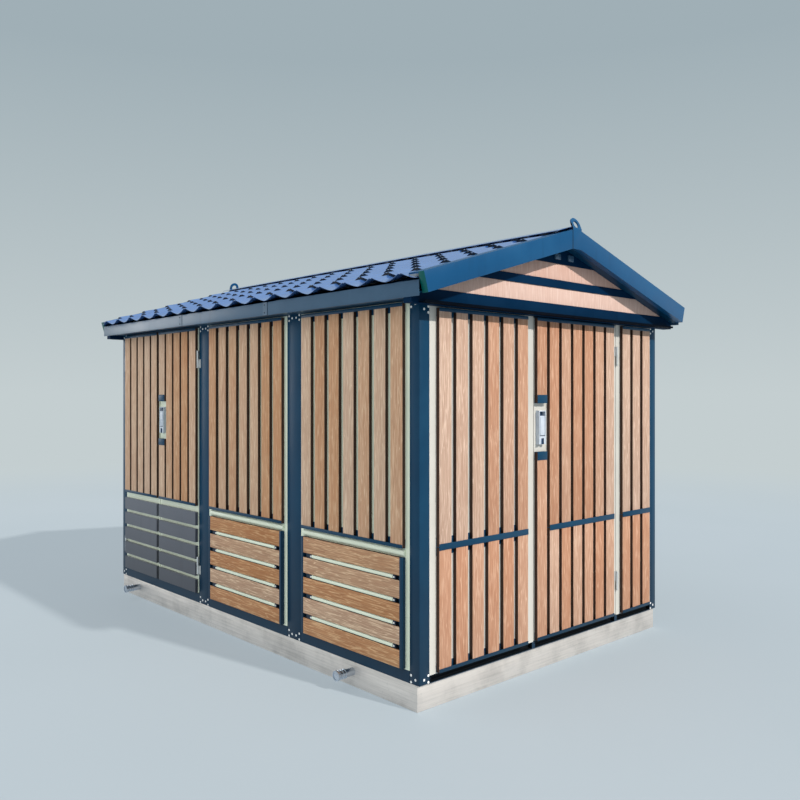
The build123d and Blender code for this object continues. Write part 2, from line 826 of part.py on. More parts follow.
def slope_plane(run):
    """A plane across the front slope at a run up from the eave edge."""
    y = -sheet_start_y + run * slope_cos
    return Plane(
        origin=(0, y, roof_z(y)),
        x_dir=(-1, 0, 0),
        z_dir=(0, slope_cos, slope_sin),
    )


def run_up(start, end, low, high, fall):
    """The band between two lifts, run up the slope and falling at a steady rate."""
    plane = slope_plane(start)
    direction = plane.z_dir * (end - start) - plane.y_dir * (end - start) * fall
    band = make_face(plane * Polyline(*wave_band(low, high), close=True))
    return extrude(band, amount=direction.length, dir=direction)


course_starts = []
course_start = tile_eave_course
while course_start < run_length:
    course_starts.append(course_start)
    course_start += tile_course


def tile_sheet_solid():
    """The pressed roof sheet of the front slope, all courses in one piece."""
    eave_lift = tile_fall * tile_eave_course
    whole = run_up(0, tile_eave_course, eave_lift, eave_lift + tile_sheet, tile_fall)
    for start in course_starts:
        end = min(start + tile_course, run_length)
        whole += run_up(start, end, 0, tile_step + tile_sheet, tile_fall)
    return whole - run_up(tile_eave_course, run_length + 1, -2 * tile_step, 0, 0)


front_sheet = tile_sheet_solid()
add("front_roof_sheet", front_sheet)
add("back_roof_sheet", Rot(0, 0, 180) * front_sheet)

# The ridge cap rests on the crests of the highest step
cap_underside = tile_step + tile_wave_height + tile_sheet


def cap_line(lift):
    """The cap's (y, z) points on the front slope: its edge, then its fold."""
    plane = slope_plane(course_starts[-1] - ridge_cap_lap)
    edge = plane.origin + plane.y_dir * (cap_underside + lift)
    return [(edge.Y, edge.Z), (0, edge.Z - edge.Y * slope)]


under, over = cap_line(0), cap_line(ridge_cap_sheet)
cap_outline = [*under, (-under[0][0], under[0][1]), (-over[0][0], over[0][1]), *over[::-1]]
add("ridge_cap", prism_x(cap_outline, -barge_inner_x, barge_inner_x))

for name, solids in nodes.items():
    loose = [solid for shape in solids for solid in shape.solids()]
    whole = loose[0] if len(loose) == 1 else Compound(children=loose)
    whole.label = name
    export_step(whole, "parts/" + name + ".step")
    print(name, len(loose), "solids")
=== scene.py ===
import json
import math
import random

import bmesh
import bpy
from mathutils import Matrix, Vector

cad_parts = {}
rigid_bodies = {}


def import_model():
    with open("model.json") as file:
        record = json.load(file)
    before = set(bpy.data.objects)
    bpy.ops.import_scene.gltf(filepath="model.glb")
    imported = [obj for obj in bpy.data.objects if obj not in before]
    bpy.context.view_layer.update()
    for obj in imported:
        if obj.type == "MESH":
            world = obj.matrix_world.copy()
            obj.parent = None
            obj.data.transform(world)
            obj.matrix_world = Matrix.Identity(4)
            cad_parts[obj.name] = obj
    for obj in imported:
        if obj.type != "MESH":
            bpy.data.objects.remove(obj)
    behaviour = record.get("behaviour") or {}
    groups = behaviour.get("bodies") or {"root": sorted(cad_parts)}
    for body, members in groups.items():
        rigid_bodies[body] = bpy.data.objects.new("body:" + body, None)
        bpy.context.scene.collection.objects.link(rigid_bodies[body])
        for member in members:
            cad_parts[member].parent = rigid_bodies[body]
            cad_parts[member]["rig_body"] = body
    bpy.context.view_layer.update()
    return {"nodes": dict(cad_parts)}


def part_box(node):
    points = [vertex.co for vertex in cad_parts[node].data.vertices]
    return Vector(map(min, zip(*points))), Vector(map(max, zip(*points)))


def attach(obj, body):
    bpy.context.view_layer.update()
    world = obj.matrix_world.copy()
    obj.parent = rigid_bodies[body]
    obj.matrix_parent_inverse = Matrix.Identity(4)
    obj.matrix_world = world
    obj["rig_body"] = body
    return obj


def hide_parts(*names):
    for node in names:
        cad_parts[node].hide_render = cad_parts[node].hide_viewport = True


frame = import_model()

nodes = frame["nodes"]

# The photograph's camera, in metres and degrees
CAMERA_PLACE = (4.55475, -3.9379, 1.5777)
CAMERA_TURN = 48.346
CAMERA_LENS = 36.5
CAMERA_SENSOR = 36
CAMERA_SHIFT = (0.02833, -0.00683)

# Roof sizes of the CAD model, in radians and metres
PITCH = math.radians(16.5)
SEAT_WALL_Z = 2.16
FRAME_HALF_WIDTH = 1.12
SEAT_APEX_Z = SEAT_WALL_Z + FRAME_HALF_WIDTH * math.tan(PITCH)
EAVE_EDGE_Y = 1.248
RIDGE_GAP = 0.008

# Main colours as red, green and blue from 0 to 255
PAINT_BLUE = (2, 56, 86)
# Painted shade: the frame paint darkens towards the ground
PAINT_GROUND_SHADE = (26, 42, 56)
# Near-black painted shade inside the gable sills' hollows
HOLLOW_PAINTED_SHADE = (22, 26, 30)
# Greyer and lighter than the frame blue: painted sheen on the shaded front
FASCIA_SHEEN_BLUE = (52, 86, 114)
# Lighter than the frame blue: painted sky reflection on the sunlit bargeboards
BARGE_SHEEN_BLUE = (10, 77, 122)
# Teal painted shade on the bargeboards' eave end faces
BARGE_END = (4, 92, 88)
SEAM_BLACK = (4, 14, 24)
# Darker than the frame blue: painted shade under the gable overhang
BEAM_SHADED_BLUE = (0, 36, 66)
# Lighter than the sheets' own blue: painted sky reflection on the pans
ROOF_SHEEN_BLUE = (66, 110, 176)
# Dark painted shade on the noses of the roof's courses
NOSE_PAINTED_SHADE = (2, 20, 38)
BLADE_SLATE = (94, 98, 110)
# Painted shade: the door blades darken towards the ground
BLADE_GROUND_SHADE = (30, 27, 28)
CLIP_BLUE = (16, 34, 52)
GAP_BLACK = (4, 10, 20)
# One cream set apart for the light on each side: the front copy lighter and greener, painted light
# for its shade; the gable copy greyer, painted shade for its half-shaded gaps
FRONT_CREAM_LIGHTENED = (244, 251, 227)
GABLE_CREAM_SHADED = (216, 212, 203)
HANDLE_PALE = (208, 216, 226)
HANDLE_SHADE = (192, 202, 216)
# Dark painted shade inside the handle housing's pocket
HANDLE_POCKET_PAINTED_SHADE = (40, 66, 98)
PLINTH_STEEL = (250, 240, 232)
FLOOR_STEEL = (140, 142, 144)
BRIGHT_STEEL = (214, 221, 232)
HINGE_STEEL = (240, 241, 240)
DULL_SPOT = (120, 116, 108)
SCREW_WHITE = (250, 250, 248)
# The gable and front boards are one board colour set apart for their light: the front copy
# lighter, painted light for the shaded front; the gable copy darker, painted shade against the key
# light
GABLE_BOARD = {"base": (196, 150, 121), "pale": (226, 189, 162), "dark": (162, 114, 86)}
FRONT_BOARD_LIGHTENED = {"base": (214, 166, 128), "pale": (244, 210, 172), "dark": (170, 120, 84)}
LEVEL_BOARD = {"base": (195, 145, 105), "pale": (231, 191, 147), "dark": (148, 100, 64)}
INFILL_BOARD = {"base": (222, 186, 169), "pale": (240, 214, 202), "dark": (196, 156, 138)}
# Dark brown painted shade on the boards' side faces, in the gaps between boards
BOARD_SIDE_SHADE = (66, 40, 26)

# Colours and strengths of the stage
BACKDROP_LOW = (196, 206, 208)
BACKDROP_HIGH = (160, 175, 182)
FLOOR = (190, 201, 208)
FLOOR_CLOUD = (195, 205, 212)
FLOOR_GLOW = (178, 191, 199)
LIGHT_LOW = (176, 184, 190)
LIGHT_HIGH = (236, 246, 255)
WORLD_LIGHT = 0.6
SUN_LIGHT = 3.1
FILL_LIGHT = 0.9
SHEEN_LIGHT = 0.25

# Axes by number
X, Y, Z = 0, 1, 2


def colour(red, green, blue):
    """A screen colour from 0 to 255 as the linear colour that a shader takes."""
    def linear(level):
        share = level / 255
        return share / 12.92 if share <= 0.04045 else ((share + 0.055) / 1.055) ** 2.4
    return (linear(red), linear(green), linear(blue), 1.0)


def dimmed(shade, share):
    """The linear colour of a screen colour with every level at a share of itself."""
    return colour(*[level * share for level in shade])


# Materials
class Field:
    """A value that changes over a surface. Arithmetic on it adds Math nodes to its finish."""

    def __init__(self, finish, socket):
        self.finish = finish
        self.socket = socket

    def maths(self, operation, *values):
        return self.finish.node("ShaderNodeMath", {"operation": operation}, values)

    def __add__(self, other):
        return self.maths("ADD", self, other)

    def __sub__(self, other):
        return self.maths("SUBTRACT", self, other)

    def __rsub__(self, other):
        return self.maths("SUBTRACT", other, self)

    def __mul__(self, other):
        return self.maths("MULTIPLY", self, other)

    def __abs__(self):
        return self.maths("ABSOLUTE", self)

    def fraction(self):
        return self.maths("FRACT", self)

    def below(self, limit):
        return self.maths("LESS_THAN", self, limit)

    def spread(self, low, high, to_low=0.0, to_high=1.0):
        """The part of the range from low to high, smoothed and held at its ends."""
        return self.finish.node(
            "ShaderNodeMapRange",
            {"interpolation_type": "SMOOTHSTEP"},
            [self, low, high, to_low, to_high])


class Finish:
    """One material: a Principled shader and the nodes that feed it."""

    def __init__(self, name, **uniform):
        self.material = bpy.data.materials.new(name)
        self.material.use_nodes = True
        self.tree = self.material.node_tree
        self.shader = self.tree.nodes["Principled BSDF"]
        for setting, value in uniform.items():
            socket = setting.replace("_", " ").title().replace("Ior", "IOR")
            self.shader.inputs[socket].default_value = value

    def node(self, kind, settings=None, values=(), output=0):
        """Add a node: its settings first, then the values or links of its sockets."""
        made = self.tree.nodes.new(kind)
        for name, setting in (settings or {}).items():
            setattr(made, name, setting)
        pairs = values.items() if isinstance(values, dict) else enumerate(values)
        for place, value in pairs:
            if isinstance(value, Field):
                self.tree.links.new(value.socket, made.inputs[place])
            else:
                made.inputs[place].default_value = value
        return Field(self, made.outputs[output])

    def place(self):
        """A point of the object, in metres."""
        return self.node("ShaderNodeTexCoord", output=3)

    def parts(self, vector):
        """The three coordinates of a vector."""
        split = self.node("ShaderNodeSeparateXYZ", values=[vector])
        outputs = split.socket.node.outputs
        return [Field(self, outputs[i]) for i in range(3)]

    def stretched(self, vector, factors):
        return self.node("ShaderNodeVectorMath", {"operation": "MULTIPLY"}, [vector, factors])

    def moved(self, vector, shift):
        return self.node("ShaderNodeVectorMath", {"operation": "ADD"}, [vector, shift])

    def noise(self, vector, scale, detail=2.0, roughness=0.5, distortion=0.0):
        return self.node(
            "ShaderNodeTexNoise", {},
            {"Vector": vector, "Scale": scale, "Detail": detail,
             "Roughness": roughness, "Distortion": distortion})

    def blend(self, factor, first, second):
        """Mix two colours."""
        return self.node(
            "ShaderNodeMix", {"data_type": "RGBA"},
            {0: factor, 6: first, 7: second}, output=2)

    def attribute(self, name):
        return self.node("ShaderNodeAttribute", {"attribute_name": name}, output=2)

    def feed(self, socket, field):
        self.tree.links.new(field.socket, self.shader.inputs[socket])

    def bump(self, height, strength, distance):
        normal = self.node(
            "ShaderNodeBump", {},
            {"Height": height, "Strength": strength, "Distance": distance})
        self.feed("Normal", normal)


# The bargeboards' seam lies where x times y comes within SEAM_REACH of minus SEAM_PLACE:
# a line 6 mm wide on one side of each apex
SEAM_PLACE = 0.0805
SEAM_REACH = 0.0055


def paint_finish(name, shade, roughness, coat, sheen=0.2, coat_roughness=0.2,
                 coat_ior=1.5, seam=False, painted_shade_colour=None, painted_ground_shade=None):
    """Powder-coated sheet steel: one colour with faint orange peel, grime and soft gloss change.

    The faces marked in the shade mask take a painted shade colour, and a darker painted shade
    fades in towards the ground.
    """
    finish = Finish(name, roughness=roughness, coat_weight=coat,
                    coat_roughness=coat_roughness, coat_ior=coat_ior, specular_ior_level=sheen)
    place = finish.place()
    cloud = finish.noise(place, 2.6, detail=4, roughness=0.6)
    grime = finish.noise(finish.stretched(place, (14, 14, 1.2)), 1, detail=3, roughness=0.6)
    faded = colour(*[min(255, level + 8) for level in shade])
    tone = finish.blend(cloud.spread(0.35, 0.7), colour(*shade), faded)
    tone = finish.blend(grime.spread(0.55, 0.8) * 0.6, tone, dimmed(shade, 0.86))
    x, y, z = finish.parts(place)
    # Painted shade: a darker colour fades in towards the ground
    if painted_ground_shade:
        tone = finish.blend(z.spread(0.1, 1.1, 0.55, 0), tone, colour(*painted_ground_shade))
    if painted_shade_colour:
        # Painted shade: the faces marked in the mask take a shade colour and lose their coat
        painted_shade_mask = finish.attribute("painted_shade_mask")
        tone = finish.blend(painted_shade_mask, tone, colour(*painted_shade_colour))
        finish.feed("Coat Weight", (1 - painted_shade_mask) * coat)
    if seam:
        on_seam = abs(x * y + SEAM_PLACE).below(SEAM_REACH)
        tone = finish.blend(on_seam, tone, colour(*SEAM_BLACK))
    finish.feed("Base Color", tone)
    finish.feed("Roughness", cloud.spread(0.3, 0.7, roughness * 0.85, roughness * 1.25))
    finish.bump(finish.noise(place, 420), 0.06, 0.001)
    return finish.material


def wood_finish(name, along, lines, shades):
    """Brushed composite board: fine streaks and short pale grain strokes along it, and a painted
    shade on its side faces.
    """
    finish = Finish(name, roughness=0.75)
    tint = finish.attribute("tint")
    edge = finish.attribute("edge")
    shift = finish.node("ShaderNodeCombineXYZ", {}, [tint * 31, tint * 17, tint * 23])
    place = finish.moved(finish.place(), shift)
    pale, base, dark = [colour(*shades[part]) for part in ("pale", "base", "dark")]

    def drawn_along(share):
        """The place with the board's length shrunk to a share, so that marks run along it."""
        return finish.stretched(place, [share if axis == along else 1 for axis in (X, Y, Z)])

    streaks = finish.noise(drawn_along(0.03), 230, detail=4, roughness=0.7)
    strokes = drawn_along(0.05)
    waves = finish.noise(strokes, 95, distortion=0.5)
    contour = abs((waves * 3.0).fraction() - 0.5)
    broken = finish.noise(strokes, 170)
    grain = (1 - contour.spread(0.0, 0.2)) * broken.spread(0.34, 0.56) * lines
    broad = finish.noise(place, 3.5)
    tone = finish.blend(streaks.spread(0.3, 0.66), dark, base)
    tone = finish.blend(0.35, tone, base)
    tone = finish.blend(broad.spread(0.4, 0.7) * 0.12, tone, pale)
    tone = finish.blend(grain, tone, pale)
    varied = finish.node(
        "ShaderNodeHueSaturation", {},
        {"Hue": tint.spread(0, 1, 0.495, 0.503), "Saturation": tint.spread(0, 1, 1.12, 0.8),
         "Value": tint.spread(0, 1, 0.94, 1.05), "Color": tone})
    # The faces marked edge, the boards' sides, take the painted shade
    finish.feed("Base Color", finish.blend(edge, varied, colour(*BOARD_SIDE_SHADE)))
    finish.feed("Roughness", streaks.spread(0.3, 0.7, 0.66, 0.84))
    finish.bump(streaks + grain * 0.4, 0.3, 0.0008)
    return finish.material


def cream_finish(name, shade):
    """Smooth pale paint with soft clouding and a little dust that lies in upright streaks."""
    finish = Finish(name, roughness=0.42, coat_weight=0.15, coat_roughness=0.3)
    place = finish.place()
    cloud = finish.noise(place, 3.1, detail=3, roughness=0.55)
    dust = finish.noise(finish.stretched(place, (9, 9, 2)), 2.5, detail=4, roughness=0.65)
    tone = finish.blend(cloud.spread(0.4, 0.7), colour(*shade), dimmed(shade, 0.96))
    tone = finish.blend(dust.spread(0.6, 0.85) * 0.4, tone, dimmed(shade, 0.86))
    finish.feed("Base Color", tone)
    finish.feed("Roughness", cloud.spread(0.3, 0.7, 0.36, 0.5))
    finish.bump(finish.noise(place, 380), 0.05, 0.001)
    return finish.material


def metal_finish(name, shade, roughness, brush, spots=0.0, metallic=1.0):
    """Bare metal with fine brush marks, soft clouding and, where wanted, a few dull spots.

    The marks run along the axes with the small factors in brush.
    """
    finish = Finish(name, metallic=metallic, roughness=roughness)
    place = finish.place()
    marks = finish.noise(finish.stretched(place, brush), 60, detail=4, roughness=0.7)
    cloud = finish.noise(place, 5.5, detail=4, roughness=0.6)
    dull = finish.noise(place, 38, detail=3, roughness=0.6)
    darker = marks.spread(0.3, 0.75) * 0.5 + cloud.spread(0.4, 0.75) * 0.5
    tone = finish.blend(darker, colour(*shade), dimmed(shade, 0.8))
    tone = finish.blend(dull.spread(0.62, 0.75) * spots, tone, colour(*DULL_SPOT))
    finish.feed("Base Color", tone)
    finish.feed("Roughness", marks.spread(0.2, 0.8, roughness * 0.8, roughness * 1.3))
    finish.bump(marks, 0.12, 0.0006)
    return finish.material


def handle_finish(name):
    """Pale moulded handle with a fine texture, and a dark painted shade inside the housing's
    pocket.
    """
    finish = Finish(name, roughness=0.38, coat_weight=0.2, coat_roughness=0.2)
    place = finish.place()
    fine = finish.noise(place, 600, roughness=0.6)
    cloud = finish.noise(place, 22, detail=3)
    tone = finish.blend(cloud.spread(0.35, 0.7), colour(*HANDLE_PALE), colour(*HANDLE_SHADE))
    finish.feed("Base Color", finish.blend(finish.attribute("painted_shade_mask"), tone, colour(*HANDLE_POCKET_PAINTED_SHADE)))
    finish.feed("Roughness", fine.spread(0.3, 0.7, 0.3, 0.48))
    finish.bump(fine, 0.08, 0.0005)
    return finish.material


finishes = {
    "paint": paint_finish("frame_paint", PAINT_BLUE, 0.42, 0.3, sheen=0.1, coat_roughness=0.3,
                          painted_ground_shade=PAINT_GROUND_SHADE),
    "rail": paint_finish("rail_paint", PAINT_BLUE, 0.42, 0.3, sheen=0.1, coat_roughness=0.3,
                         painted_shade_colour=HOLLOW_PAINTED_SHADE, painted_ground_shade=PAINT_GROUND_SHADE),
    "barge": paint_finish("barge_sheen_paint", BARGE_SHEEN_BLUE, 0.36, 0.1, seam=True, painted_shade_colour=BARGE_END),
    "fascia": paint_finish("fascia_sheen_paint", FASCIA_SHEEN_BLUE, 0.4, 0.5, sheen=0.3),
    "beam": paint_finish("beam_shaded_paint", BEAM_SHADED_BLUE, 0.5, 0.0, sheen=0.03),
    "roof": paint_finish("roof_sheen_paint", ROOF_SHEEN_BLUE, 0.2, 1.0, sheen=0.4, coat_roughness=0.16,
                         coat_ior=2.3, painted_shade_colour=NOSE_PAINTED_SHADE),
    "blade": paint_finish("blade_paint", BLADE_SLATE, 0.34, 0.3, sheen=0.3, coat_roughness=0.3,
                          painted_ground_shade=BLADE_GROUND_SHADE),
    "cream": cream_finish("front_cream_lightened_paint", FRONT_CREAM_LIGHTENED),
    "gable_cream": cream_finish("gable_cream_shaded_paint", GABLE_CREAM_SHADED),
    "upright_wood": wood_finish("front_board_lightened_wood", Z, 0.7, FRONT_BOARD_LIGHTENED),
    "gable_wood": wood_finish("gable_board_wood", Z, 0.8, GABLE_BOARD),
    "level_wood": wood_finish("level_board_wood", X, 1.0, LEVEL_BOARD),
    "infill_wood": wood_finish("infill_board_wood", Z, 0.5, INFILL_BOARD),
    "plinth": metal_finish("plinth_brushed_steel", PLINTH_STEEL, 0.46, (0.03, 0.03, 1),
                           spots=0.15, metallic=0.8),
    "floor": metal_finish("floor_steel_sheet", FLOOR_STEEL, 0.5, (1, 0.2, 1)),
    "bright": metal_finish("bright_turned_steel", BRIGHT_STEEL, 0.24, (1, 0.05, 1),
                           metallic=0.95),
    "screw": paint_finish("screw_zinc", SCREW_WHITE, 0.4, 0.3, sheen=0.5),
    "hinge": metal_finish("hinge_plated_steel", HINGE_STEEL, 0.34, (1, 1, 0.1), metallic=0.6),
    "clip": paint_finish("clip_paint", CLIP_BLUE, 0.4, 0.1),
    "dark": paint_finish("shadow_gap_paint", GAP_BLACK, 0.6, 0.0, sheen=0.02),
    "handle": handle_finish("handle_plastic"),
}


# Modelling helpers
def bare():
    """Deselect everything before an operator makes or changes a piece."""
    if bpy.context.object and bpy.context.object.mode != "OBJECT":
        bpy.ops.object.mode_set(mode="OBJECT")
    bpy.ops.object.select_all(action="DESELECT")


def active(piece):
    """Make a piece the one that is selected and active."""
    bare()
    piece.select_set(True)
    bpy.context.view_layer.objects.active = piece


def settle(piece):
    """Put a finished piece's place into its mesh, so that its object sits at the origin."""
    active(piece)
    bpy.ops.object.transform_apply(location=True, rotation=True, scale=True)
    return piece


def block(size, centre=(0, 0, 0)):
    """A box that the calls after it shape further."""
    bare()
    bpy.ops.mesh.primitive_cube_add(size=1, location=centre)
    piece = bpy.context.object
    piece.scale = size
    return settle(piece)


def facing(axis, sign=1):
    """A test for faces that look along an axis."""
    return lambda face: face.normal[axis] * sign > 0.9


def chosen_faces(piece, test):
    """Enter edit mode with the faces selected that pass a test."""
    active(piece)
    bpy.ops.object.mode_set(mode="EDIT")
    bpy.ops.mesh.select_mode(type="FACE")
    work = bmesh.from_edit_mesh(piece.data)
    for face in work.faces:
        face.select = test(face)
    bmesh.update_edit_mesh(piece.data)


def extrude(move):
    bpy.ops.mesh.extrude_region_move(TRANSFORM_OT_translate={"value": move})


def drawn_out(piece, test, move):
    """Extrude the faces of a piece that pass a test."""
    chosen_faces(piece, test)
    extrude(move)
    bpy.ops.object.mode_set(mode="OBJECT")


def inset(piece, test, thickness, depth):
    """Inset the faces of a piece that pass a test."""
    chosen_faces(piece, test)
    bpy.ops.mesh.inset(thickness=thickness, depth=depth)
    bpy.ops.object.mode_set(mode="OBJECT")
    return piece


def merged_copy(node, name):
    """A copy of a CAD node with doubles merged and flat faces made whole."""
    mesh = nodes[node].data.copy()
    piece = bpy.data.objects.new(name, mesh)
    bpy.context.scene.collection.objects.link(piece)
    mesh.materials.clear()
    work = bmesh.new()
    work.from_mesh(mesh)
    bmesh.ops.remove_doubles(work, verts=work.verts, dist=0.00002)
    bmesh.ops.dissolve_limit(
        work, angle_limit=math.radians(1), verts=work.verts, edges=work.edges)
    work.to_mesh(mesh)
    work.free()
    return piece


def islands(mesh):
    """The separate solids of a mesh, each a list of vertex numbers."""
    links = [[] for _ in mesh.vertices]
    for edge in mesh.edges:
        a, b = edge.vertices
        links[a].append(b)
        links[b].append(a)
    seen = set()
    found = []
    for start in range(len(links)):
        if start in seen:
            continue
        seen.add(start)
        group, waiting = [], [start]
        while waiting:
            here = waiting.pop()
            group.append(here)
            fresh = [other for other in links[here] if other not in seen]
            seen.update(fresh)
            waiting.extend(fresh)
        found.append(group)
    return found


def smoothed(piece, angle=30):
    """Shade a piece smooth except at edges sharper than an angle."""
    active(piece)
    bpy.ops.object.shade_smooth_by_angle(angle=math.radians(angle))
    return piece


def bevelled(piece, width, segments=2):
    """Round every sharp edge of a piece."""
    active(piece)
    rounding = piece.modifiers.new("rounding", "BEVEL")
    rounding.width = width
    rounding.segments = segments
    rounding.limit_method = "ANGLE"
    rounding.angle_limit = math.radians(35)
    bpy.ops.object.modifier_apply(modifier=rounding.name)
    return smoothed(piece)


def marked(piece, name, test):
    """Give the faces that pass a test the value 1 in an attribute that a finish reads."""
    layer = piece.data.attributes.new(name, "FLOAT", "FACE")
    for face in piece.data.polygons:
        layer.data[face.index].value = 1.0 if test(face) else 0.0


def twin_of(source, place, turn, scale=(1, 1, 1)):
    """A copy of a piece, with its own mesh."""
    twin = source.copy()
    twin.data = source.data.copy()
    twin.location = place
    twin.rotation_euler = turn
    twin.scale = scale
    bpy.context.scene.collection.objects.link(twin)
    return twin


def joined(pieces, base):
    """Join pieces into base, which is one of them."""
    bare()
    for piece in pieces:
        piece.select_set(True)
    bpy.context.view_layer.objects.active = base
    bpy.ops.object.join()
    return settle(base)


def finish_piece(piece, finish, body):
    """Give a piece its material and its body."""
    piece.data.materials.clear()
    piece.data.materials.append(finishes[finish])
    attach(piece, body)


def cad_finish(finish, *names):
    """Give carried-over CAD nodes their material."""
    for name in names:
        nodes[name].data.materials.clear()
        nodes[name].data.materials.append(finishes[finish])


def body_of(node):
    return nodes[node]["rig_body"]


# Boards: each one gets rounded edges and a tint of its own
BOARD_ROUNDING = 0.0022


def dressed_boards(node, finish, outward, seed):
    """Round a node's boards, tint each one, and mark the faces that don't look outward, which take
    a painted shade.
    """
    piece = merged_copy(node, node + "_dressed")
    chance = random.Random(seed)
    tint = piece.data.attributes.new("tint", "FLOAT", "POINT")
    for group in islands(piece.data):
        value = chance.random()
        for i in group:
            tint.data[i].value = value
    bevelled(piece, BOARD_ROUNDING)
    marked(piece, "edge", lambda face: abs(face.normal[outward]) <= 0.6)
    finish_piece(piece, finish, body_of(node))
    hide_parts(node)


for seed, (node, finish, outward) in enumerate((
    ("side_boards", "upright_wood", Y),
    ("gable_boards", "gable_wood", X),
    ("left_door_boards", "upright_wood", Y),
    ("right_door_boards", "upright_wood", Y),
    ("gable_door_boards", "gable_wood", X),
    ("low_boards", "level_wood", Y),
    ("infill_boards", "infill_wood", X),
), start=3):
    dressed_boards(node, finish, outward, seed)


# Frame, folded and moulded pieces: the CAD shapes with the small bends of real sheet
POST_BEND = 0.003
SHEET_BEND = 0.0012
BARGE_END_Y = 1.2


def dressed(node, finish, width, segments=2):
    """A CAD node's own shape with rounded edges, in place of the node."""
    piece = bevelled(merged_copy(node, node + "_dressed"), width, segments)
    finish_piece(piece, finish, body_of(node))
    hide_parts(node)
    return piece


def on_barge_end(face):
    """Whether a face of the bargeboards looks away from the ridge at the eave."""
    side = math.copysign(1, face.center.y)
    return face.normal.y * side > 0.88 and abs(face.center.y) > BARGE_END_Y


dressed("corner_posts", "paint", POST_BEND)
dressed("bay_posts", "paint", POST_BEND)
for node in ("low_rails", "board_channels", "left_door_channels", "right_door_channels",
             "gable_door_channels"):
    dressed(node, "paint", SHEET_BEND)
dressed("fascias", "fascia", width=0.001)
for node in ("left_door_blades", "right_door_blades"):
    dressed(node, "blade", width=0.0015, segments=1)
# The eave end faces take a teal painted shade
marked(dressed("bargeboards", "barge", SHEET_BEND), "painted_shade_mask", on_barge_end)
dressed("base_frame", "plinth", width=0.002)

# Handles: the housing's pocket, measured from the middle, the foot, the head and the front
POCKET_HALF_WIDTH = 0.0255
POCKET_FOOT = 0.006
POCKET_HEAD = 0.0045
POCKET_DEPTH = 0.002


def handle_pieces(door, outward, sign):
    """Round a door's handle and lever, and mark the inside of the housing's pocket for its painted
    shade.
    """
    low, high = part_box(door + "_handle")
    across = X + Y - outward
    middle = (low[across] + high[across]) / 2
    front = (high if sign > 0 else low)[outward]

    def in_pocket(face):
        centre = face.center
        return (abs(centre[across] - middle) < POCKET_HALF_WIDTH
                and low.z + POCKET_FOOT < centre.z < high.z - POCKET_HEAD
                and abs(centre[outward] - front) > POCKET_DEPTH)

    housing = dressed(door + "_handle", "handle", SHEET_BEND)
    marked(housing, "painted_shade_mask", in_pocket)
    dressed(door + "_lever", "handle", width=0.0015)


handle_pieces("right_door", Y, -1)
handle_pieces("gable_door", X, 1)

# Roof sheets: hanging pans between narrow crests, with stepped courses
TILE_WAVES = 17
TILE_STEPS = 6
TILE_COURSE = 0.215
TILE_EAVE_COURSE = 0.117
TILE_STEP = 0.015
TILE_HEIGHT = 0.031
TILE_SHEET = 0.0025
TILE_SKIN = 0.0016
TILE_EAVE_KEEP = 0.02
WAVE_POINTS = 20
CREST_START = 0.45
PAN_CURVE = 1.5
CREST_DIMPLE = 0.1
DIMPLE_HALF = 0.05


def wave_height(along):
    """The height of one wave from 0 to 1, where along runs from 0 to 1 from pan to pan."""
    climb = min(1.0, (min(along, 1 - along) / CREST_START) ** PAN_CURVE)
    return climb - CREST_DIMPLE * max(0.0, 1 - abs(along - 0.5) / DIMPLE_HALF)


def course_rows(run_length):
    """Each row's distance up the slope and its rise, with two rows where a course begins."""
    rows = [(0, TILE_STEP * TILE_EAVE_COURSE / TILE_COURSE)]
    for i in range(TILE_STEPS):
        start = TILE_EAVE_COURSE + TILE_COURSE * i
        rows += [(start, 0), (start, TILE_STEP)]
    last = TILE_STEP * (1 - (run_length - start) / TILE_COURSE)
    return rows + [(run_length, last)]


def tile_sheet(side):
    """The sheet of one slope: a grid drawn into waves and courses, then made thick."""
    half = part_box("front_roof_sheet")[1].x
    rows = course_rows((EAVE_EDGE_Y - RIDGE_GAP) / math.cos(PITCH))
    columns = TILE_WAVES * WAVE_POINTS
    bare()
    bpy.ops.mesh.primitive_grid_add(
        x_subdivisions=columns, y_subdivisions=len(rows) - 1, size=2)
    piece = bpy.context.object
    piece.name = ("front" if side < 0 else "back") + "_tile_sheet"
    for vertex in piece.data.vertices:
        column = round((vertex.co.x + 1) / 2 * columns)
        row = round((vertex.co.y + 1) / 2 * (len(rows) - 1))
        run, rise = rows[row]
        wave = TILE_HEIGHT * wave_height(column % WAVE_POINTS / WAVE_POINTS)
        lift = rise + wave + TILE_SHEET
        flat_y = -EAVE_EDGE_Y + run * math.cos(PITCH)
        x = -half + 2 * half * column / columns
        y = flat_y - lift * math.sin(PITCH)
        z = SEAT_APEX_Z + flat_y * math.tan(PITCH) + lift * math.cos(PITCH)
        vertex.co = (x, y, z) if side < 0 else (-x, -y, z)
    active(piece)
    thick = piece.modifiers.new("thick", "SOLIDIFY")
    thick.thickness = TILE_SKIN
    thick.offset = -1
    bpy.ops.object.modifier_apply(modifier=thick.name)
    smoothed(piece)

    def on_nose(face):
        """Whether a face is the drop at the end of a course, but not the eave's own edge."""
        return face.normal.y * side > 0.6 and abs(face.center.y) < EAVE_EDGE_Y - TILE_EAVE_KEEP

    # The noses take a dark painted shade and lose their coat; the eave's edge keeps the roof
    # colour
    marked(piece, "painted_shade_mask", on_nose)
    finish_piece(piece, "roof", "cabin")
    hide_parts("front_roof_sheet" if side < 0 else "back_roof_sheet")


tile_sheet(-1)
tile_sheet(1)

# Gable sills: the hollows between the board channels and the plinth
SILL_FACE_X = 1.695
SILL_TOP_Z = 0.18
HOLLOW_LOW, HOLLOW_HIGH = 0.137, 0.1715
HOLLOW_DEPTH = 0.026
HOLLOW_SPANS = ((-1.047, -0.224), (-0.197, 0.621), (0.648, 1.047))


